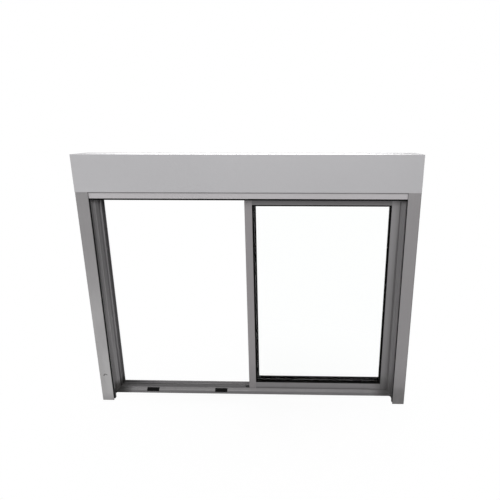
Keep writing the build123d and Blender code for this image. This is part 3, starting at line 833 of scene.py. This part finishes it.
def addCoverScrews():
    # a row along the back edge of the underside of the box, heads down, where its cover comes off
    low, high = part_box("box_bottom_panel")
    back = high[1] - coverScrews["fromBack"]
    basis = ((1.0, 0.0, 0.0), (0.0, -1.0, 0.0), (0.0, 0.0, -1.0))
    ends = low[0] + coverScrews["fromEnd"], high[0] - coverScrews["fromEnd"]
    frames = [((x, back, low[2]), basis) for x in np.linspace(*ends, coverScrews["count"])]
    points, faces = repeated(*screwSurface(1.0), frames)
    addPiece("box_cover_screws", points, faces, "zinc")


latchScrews = {"fromEnd": 0.012, "scale": 0.72}


def addLatchScrews(sash):
    # one screw near each end of the latch plate, heads towards the room
    low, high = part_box(sash + "latch")
    middle = (low[0] + high[0]) / 2
    basis = ((-1.0, 0.0, 0.0), (0.0, 0.0, 1.0), (0.0, 1.0, 0.0))
    heights = (low[2] + latchScrews["fromEnd"], high[2] - latchScrews["fromEnd"])
    frames = [((middle, high[1], z), basis) for z in heights]
    points, faces = repeated(*screwSurface(latchScrews["scale"]), frames)
    addPiece(sash + "latch_screws", points, faces, "zinc")


addCoverScrews()
addLatchScrews("inner_sash_")
print("screws made")


# glazing rubber: a channel with a rounded lip on each side of the glass
glazing = {
    "show": 0.0060,        # lip past the edge of the sash
    "edge": 0.0004,        # thickness of the lip at its rim
    "bead": 0.00030,       # swelling of the lip
    "film": 0.00004,       # kept clear of the glass
    "wave": 0.00005,
    "stepsPerMetre": 70,
}


def glazingProfile(out, pane, front, unitFront, unitBack, back):
    # (s, y): s runs from the sash edge towards the middle of the glass, y through the sash
    g = glazing
    t = np.linspace(0.0, 1.0, 14)
    swell = g["bead"] * np.exp(-((t - 0.28) / 0.16) ** 2)
    seam = 0.00018 * np.exp(-((t - 0.03) / 0.03) ** 2)
    fall = t ** 2.4
    s = g["show"] * t
    frontLip = np.stack([s, front + (unitFront - g["edge"] - front) * fall - swell + seam], axis=-1)
    backLip = np.stack([s, back + (unitBack + g["edge"] - back) * fall + swell - seam], axis=-1)
    rim = g["show"] - 0.00012
    inner = np.array([
        (rim, unitFront - g["film"]),
        (pane, unitFront - g["film"]),
        (pane, unitBack + g["film"]),
        (rim, unitBack + g["film"]),
    ])
    return np.concatenate([[(out, front)], frontLip, inner, backLip[::-1], [(out, back)]])


def addGlazing(sash):
    # profile carried round the daylight opening of the sash, corners mitred, the lip a little wavy
    stiles = [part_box(sash + name) for name in ("closing_stile", "meeting_stile")]
    stiles = sorted(stiles, key=lambda box: box[0][0])
    x0, x1 = stiles[0][1][0], stiles[1][0][0]
    z0, z1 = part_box(sash + "bottom_rail")[1][2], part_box(sash + "top_rail")[0][2]
    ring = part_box(sash + "gasket")
    frontPane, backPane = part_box(sash + "front_pane"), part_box(sash + "back_pane")
    profile = glazingProfile(
        ring[0][0] - x0, frontPane[0][0] - x0 - glazing["film"], ring[0][1],
        frontPane[0][1], backPane[1][1], ring[1][1])
    corners = np.array([(x0, z0, 1, 1), (x1, z0, -1, 1), (x1, z1, -1, -1), (x0, z1, 1, -1)])
    rows = []
    for corner, following in zip(corners, np.roll(corners, -1, axis=0)):
        steps = int(glazing["stepsPerMetre"] * np.abs(following - corner)[:2].sum())
        f = np.linspace(0.0, 1.0, steps, endpoint=False)[:, None]
        rows.append(corner + (following - corner) * f)
    path = np.concatenate(rows)
    turn = np.linspace(0.0, 2.0 * np.pi, len(path), endpoint=False)
    wave = np.sin(9 * turn) + np.sin(23 * turn + 1.3) + 0.7 * np.sin(51 * turn + 0.4)
    wave = glazing["wave"] * wave / 2
    share = np.clip(profile[None, :, 0] / glazing["show"], 0.0, 1.0)
    s = profile[None, :, 0] + wave[:, None] * share
    x = path[:, 0, None] + path[:, 2, None] * s
    z = path[:, 1, None] + path[:, 3, None] * s
    y = np.broadcast_to(profile[None, :, 1], x.shape)
    points = np.stack([x, y, z], axis=-1)
    closed = np.concatenate([points, points[:1]]).reshape(-1, 3)
    faces = gridFaces(len(path) + 1, len(profile), True)
    piece = addPiece(sash + "glazing_rubber", closed, faces, "blackRubber")
    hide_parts(sash + "gasket")


for sash in sashes:
    addGlazing(sash)
print("glazing rubber made")


# brush strips: a carrier with raised edges, and tufts standing on it
guideBrush = {
    "carrier": 0.0012,
    "pileWidth": 0.0030,
    "pileHeight": 0.0012,
    "rows": 2,
    "pitch": 0.00055,
    "hair": 0.00034,
    "lean": 0.00030,
    "seed": 11,
}
sashBrush = {
    "carrier": 0.0010,
    "width": 0.004,
    "pileWidth": 0.0030,
    "clear": 0.0016,           # free space left for the rail between the two piles
    "rows": 3,
    "pitch": 0.00120,
    "hair": 0.00060,
    "lean": 0.00055,
}


def carrierSurface(width, thickness, start, end, across, out):
    # flat channel with raised edges, carried from start to end and closed at both ends
    w = width / 2
    lip = thickness * 0.45
    profile = np.array([
        (-w, 0.0), (w, 0.0), (w, thickness), (w - lip, thickness),
        (w - lip, lip), (-w + lip, lip), (-w + lip, thickness), (-w, thickness),
    ])
    flat = profile[:, :1] * across + profile[:, 1:] * out
    middle = np.broadcast_to(out * lip / 2, flat.shape)
    rows = np.concatenate([middle + start, flat + start, flat + end, middle + end])
    return rows, gridFaces(4, len(profile), True)


def tuftSurface(s, height, start, end, across, out, random):
    # each tuft is a slim four-sided spike, its tip leaning by a random amount
    run = end - start
    length = np.linalg.norm(run)
    along = run / length
    count = int(length / s["pitch"])
    margin = s["lean"] + s["hair"] + s["pitch"]
    step = (margin + (length - 2.0 * margin) * (np.arange(count) + 0.5) / count) / length
    lane = (np.arange(s["rows"]) + 0.5) / s["rows"] - 0.5
    step, lane = [v.ravel() for v in np.meshgrid(step, lane, indexing="ij")]
    amount = len(step)
    jitter = random.uniform(-0.5, 0.5, (amount, 2))
    root = start + run * step[:, None] + along * (jitter[:, :1] * s["pitch"] * 0.6)
    root = root + across * ((lane * s["pileWidth"])[:, None] + jitter[:, 1:] * s["hair"])
    tall = height * random.uniform(0.82, 1.0, (amount, 1))
    lean = random.uniform(-1.0, 1.0, (amount, 2)) * s["lean"]
    tip = root + out * tall + along * lean[:, :1] + across * lean[:, 1:]
    h = s["hair"] / 2
    corners = ((-1, -1), (1, -1), (1, 1), (-1, 1))
    base = [root + along * (a * h) + across * (b * h) for a, b in corners]
    points = np.stack(base + [tip], axis=1).reshape(-1, 3)
    first = np.arange(amount)[:, None, None] * 5
    spike = np.array([(0, 1, 4), (1, 2, 4), (2, 3, 4), (3, 0, 4), (2, 1, 0), (3, 2, 0)])[None]
    return points, (first + spike).reshape(-1, 3)


def addBrushes(name, node, s, strips, seed):
    # strips hold start, end, the width across, the height and the way the pile points
    random = np.random.default_rng(seed)
    allPoints = []
    allFaces = []
    total = 0
    for start, end, across, out, width, height in strips:
        start, end, across, out = [np.array(v, dtype=float) for v in (start, end, across, out)]
        points, quads = carrierSurface(width, s["carrier"], start, end, across, out)
        halves = np.concatenate([quads[:, [0, 1, 2]], quads[:, [0, 2, 3]]])
        lift = out * s["carrier"] * 0.4
        tufts, spikes = tuftSurface(s, height, start + lift, end + lift, across, out, random)
        for somePoints, someFaces in ((points, halves), (tufts, spikes)):
            allPoints.append(somePoints)
            allFaces.append(someFaces + total)
            total += len(somePoints)
    points, faces = np.concatenate(allPoints), np.concatenate(allFaces)
    piece = addPiece(name, points, faces, "pile", False)
    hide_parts(node)


def addGuideBrushes(side):
    # one strip on each wall of the slot, pile towards the slats
    s = guideBrush
    guide = "guide_" + side
    low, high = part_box(guide + "_brushes")
    middle = (low[0] + high[0]) / 2
    width = high[0] - low[0]
    strips = []
    for y, way in ((low[1], 1.0), (high[1], -1.0)):
        start, end = (middle, y, low[2]), (middle, y, high[2])
        strips.append((start, end, (1, 0, 0), (0, way, 0), width, s["pileHeight"]))
    addBrushes(guide + "_brush_pile", guide + "_brushes", s, strips, s["seed"])


def addSashBrushes(sash, seed):
    # strips in the grooves of the sash, pile towards the rails of the frame
    s = sashBrush
    low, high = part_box(sash + "pile_strips")
    bottom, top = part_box(sash + "bottom_rail"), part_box(sash + "top_rail")
    x0, x1 = bottom[0][0], bottom[1][0]
    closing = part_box(sash + "closing_stile")
    outwards = 1.0 if closing[1][0] > x1 else -1.0
    width = s["width"]
    xSide = (high[0] if outwards > 0 else low[0]) - outwards * width / 2
    tall = (high[1] - low[1]) / 2 - s["clear"] - s["carrier"] * 0.4
    strips = []
    for y, way in ((low[1], 1.0), (high[1], -1.0)):
        for z in (bottom[0][2] + width / 2, top[1][2] - width / 2):
            strips.append(((x0, y, z), (x1, y, z), (0, 0, 1), (0, way, 0), width, tall))
        z0, z1 = low[2] + 2 * width, high[2] - 2 * width
        strips.append(((xSide, y, z0), (xSide, y, z1), (1, 0, 0), (0, way, 0), width, tall))
    addBrushes(sash + "brush_pile", sash + "pile_strips", s, strips, seed)


for side in ("left", "right"):
    addGuideBrushes(side)
for sash, seed in zip(sashes, (21, 22)):
    addSashBrushes(sash, seed)
print("brush pile made")


# black end blocks at the foot and the head of the outer meeting stile, straddling the rail
endBlock = {
    "length": 0.0195,
    "halfDepth": 0.0040,
    "slotHalf": 0.0021,
    "foot": 0.0245,
    "top": 0.0338,
    "slotTop": 0.0326,
    "outerRound": 0.0010,
    "innerRound": 0.0008,
    "taper": 0.0030,
    "trackPitch": 0.034,       # from the outer rail to the inner one
}


def archLine(half, top, foot, radius):
    # upside-down U: a leg, a rounded corner, the top, a rounded corner, a leg
    turn = np.linspace(0.0, np.pi / 2, 7)
    y = -half + radius - radius * np.cos(turn)
    z = top - radius + radius * np.sin(turn)
    legs = np.linspace(foot, z[0], 4)[:-1]
    side = np.stack([np.concatenate([np.full(3, -half), y]), np.concatenate([legs, z])], axis=-1)
    other = side[::-1] * np.array([-1.0, 1.0])
    return np.concatenate([side, other])


def endBlockSurface():
    # thick arch carried along x, its free end drawn in towards the middle of its wall
    s = endBlock
    outer = archLine(s["halfDepth"], s["top"], s["foot"], s["outerRound"])
    inner = archLine(s["slotHalf"], s["slotTop"], s["foot"] + 0.0002, s["innerRound"])
    middle = (outer + inner) / 2
    u = np.linspace(0.0, 1.0, 8)
    x = np.concatenate([[0.0], -s["length"] + s["taper"] * (1.0 - np.sin(u * np.pi / 2))])
    draw = np.concatenate([[1.0], 1.0 - 0.45 * (1.0 - np.cos(u * np.pi / 2))])[:, None, None]
    loop = np.concatenate([outer, inner[::-1]])
    core = np.concatenate([middle, middle[::-1]])
    flat = core[None] + (loop - core)[None] * draw
    along = np.broadcast_to(x[:, None, None], flat.shape[:2] + (1,))
    points = np.concatenate([along, flat], axis=-1)
    count = len(loop)
    sides = gridFaces(len(x), count, True)
    n = np.arange(len(outer) - 1)
    cap = np.stack([n, n + 1, count - 2 - n, count - 1 - n], axis=-1)
    faces = np.concatenate([sides, cap, cap[:, ::-1] + (len(x) - 1) * count])
    return points.reshape(-1, 3), faces


def addEndBlocks():
    # one block standing on the outer rail of the sill, one hanging under the box
    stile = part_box("outer_sash_meeting_stile")
    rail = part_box("sill_rails")
    middle = rail[0][1] + (rail[1][1] - rail[0][1] - endBlock["trackPitch"]) / 2
    places = ((0.0, 1), (windowHeight, -1))
    frames = [((stile[0][0], middle, z), ((1, 0, 0), (0, 1, 0), (0, 0, way))) for z, way in places]
    points, faces = repeated(*endBlockSurface(), frames)
    addPiece("outer_sash_end_blocks", points, faces, "dustyPlastic", False)


addEndBlocks()
print("end blocks made")


# black sealant left in the corner between each guide and the underside of the sill
footSealant = {
    "right": {"reach": 0.0140, "drop": 0.0170},
    "left": {"reach": 0.0090, "drop": 0.0075},
    "behindGuide": 0.0120,
    "depth": 0.0150,
}


def addFootSealant(side, way):
    # section = concave curve from the sill to the guide, carried inwards with an uneven edge
    s = footSealant[side]
    t = np.linspace(0.0, 1.0, 16)
    curve = np.stack([-s["reach"] * (1.0 - t) ** 2, -s["drop"] * t ** 1.7], axis=-1)
    behind = footSealant["behindGuide"]
    back = np.array([(behind, -s["drop"] * 0.9), (behind, 0.0)])
    loop = np.concatenate([curve, back])
    v = np.linspace(0.0, 1.0, 14)
    uneven = 1.0 - 0.5 * v ** 3 + 0.05 * np.sin(v * 19.0) + 0.03 * np.sin(v * 41.0 + 0.7)
    flat = loop[None] * uneven[:, None, None]
    y = sillLow[1] + 0.0001 + footSealant["depth"] * v
    ends = [np.zeros_like(flat[:1]), flat, np.zeros_like(flat[:1])]
    flat = np.concatenate(ends)
    y = np.concatenate([y[:1], y, y[-1:]])
    x = way * (guideInner + flat[..., 0])
    points = np.stack([x, np.broadcast_to(y[:, None], x.shape), flat[..., 1] - 0.00005], axis=-1)
    faces = gridFaces(len(y), len(loop), True)
    addPiece("foot_sealant_" + side, points.reshape(-1, 3), faces, "blackSealant")


addFootSealant("left", -1.0)
addFootSealant("right", 1.0)
print("sealant made")


# floor: pale near the window, and as white as the backdrop further out
floorSettings = {
    "radius": 9.0,
    "height": -0.0262,
    "tone": 0.94,
    "bounce": 0.30,
    "oval": 1.25,              # how much wider than deep the paler middle is
    "fadeStart": 0.05,
    "fadeEnd": 0.90,
    "nearWhite": 0.94,
}


def addFloor():
    # flat disc whose rings widen outwards: radius = whole * u squared
    s = floorSettings
    u = np.linspace(0.0, 1.0, 24) ** 2
    t = np.linspace(0.0, 2.0 * np.pi, 96, endpoint=False)
    r, turn = np.meshgrid(s["radius"] * np.maximum(u, 1e-4), t, indexing="ij")
    points = np.stack([r * np.cos(turn), r * np.sin(turn), np.full_like(r, s["height"])], axis=-1)
    faces = gridFaces(len(u), len(t), True)[:, ::-1]
    floor = bpy.data.objects.new("floor", meshFrom("floor", points.reshape(-1, 3), faces, False))
    bpy.context.scene.collection.objects.link(floor)
    return floor


def rayIs(tree):
    # 1 for rays that come straight from the camera, off a shiny surface or through glass
    start = Wire(tree, None)
    camera, shiny, through = [start.node("ShaderNodeLightPath", None, None, k) for k in (0, 3, 6)]
    return camera.most(shiny).most(through)


def floorSurface():
    # diffuse ground mixed with plain white by distance from the window
    s = floorSettings
    made = bpy.data.materials.new("paleFloor")
    made.use_nodes = True
    tree = made.node_tree
    tree.nodes.clear()
    start = Wire(tree, None)
    x, y, z = start.node("ShaderNodeTexCoord", None, None, 3).axes()
    away = ((x / s["oval"]) ** 2 + y ** 2) ** 0.5
    far = away.ramp(s["fadeStart"], s["fadeEnd"], s["nearWhite"], 1.0)
    direct = rayIs(tree)
    tone = direct.mixed(grey(s["bounce"]), grey(s["tone"]))
    ground = start.node("ShaderNodeBsdfDiffuse", None, {"Color": tone})
    white = start.node("ShaderNodeEmission", None, {"Color": grey(1.0), "Strength": 1.0})
    mix = start.node("ShaderNodeMixShader", None, {0: far * direct, 1: ground, 2: white})
    output = tree.nodes.new("ShaderNodeOutputMaterial")
    tree.links.new(mix.socket, output.inputs["Surface"])
    return made


addFloor().data.materials.append(floorSurface())

# studio: white behind everything, soft light all round
sky = {"soft": 0.50, "tint": (0.97, 0.98, 1.0, 1.0)}


def addSky():
    # plain white to the camera and in reflections, a softer light on the window
    world = bpy.data.worlds.new("studio")
    bpy.context.scene.world = world
    world.use_nodes = True
    tree = world.node_tree
    tree.nodes.clear()
    start = Wire(tree, None)
    white = start.node("ShaderNodeBackground", None, {"Color": grey(1.0), "Strength": 1.0})
    soft = start.node("ShaderNodeBackground", None, {"Color": sky["tint"], "Strength": sky["soft"]})
    backdrop = start.node("ShaderNodeMixShader", None, {0: rayIs(tree), 1: soft, 2: white})
    output = tree.nodes.new("ShaderNodeOutputWorld")
    tree.links.new(backdrop.socket, output.inputs["Surface"])


addSky()

# soft lamps: one in front from above, a weak one low at the left, a wide one behind
lamps = {
    "key": {"at": (0.2, -3.2, 3.0), "to": (0.0, -0.05, 0.7), "size": 2.6, "power": 70.0},
    "lowLeft": {"at": (-1.5, -1.5, 0.2), "to": (-0.72, -0.07, 0.3), "size": 0.9, "power": 3.0},
    "back": {"at": (-0.25, 2.8, 2.3), "to": (0.0, 0.0, 0.6), "size": 3.6, "power": 60.0},
}


def aimed(thing, at, to):
    # turned so that its own -Z looks from one point to the other
    thing.location = at
    thing.rotation_mode = "QUATERNION"
    thing.rotation_quaternion = (Vector(to) - Vector(at)).to_track_quat("-Z", "Y")


for name, s in lamps.items():
    light = bpy.data.lights.new(name, "AREA")
    light.shape = "DISK"
    light.size = s["size"]
    light.energy = s["power"]
    lamp = bpy.data.objects.new(name, light)
    bpy.context.scene.collection.objects.link(lamp)
    aimed(lamp, s["at"], s["to"])

# where the photographer stood, with the lens shifted to the picture's place
eye = {
    "at": (0.221, -1.897, 1.258),
    "down": 15.89,
    "left": 1.36,
    "lens": 30.6,
    "shiftX": -0.0757,
    "shiftY": 0.0094,
}


def addEye():
    camera = bpy.data.cameras.new("camera")
    camera.lens = eye["lens"]
    camera.sensor_width = 36.0
    camera.shift_x = eye["shiftX"]
    camera.shift_y = eye["shiftY"]
    holder = bpy.data.objects.new("camera", camera)
    holder.location = eye["at"]
    holder.rotation_euler = (math.radians(90.0 - eye["down"]), 0.0, math.radians(eye["left"]))
    bpy.context.scene.collection.objects.link(holder)
    bpy.context.scene.camera = holder


addEye()
bpy.context.scene.view_settings.view_transform = "Standard"
print("stage ready")
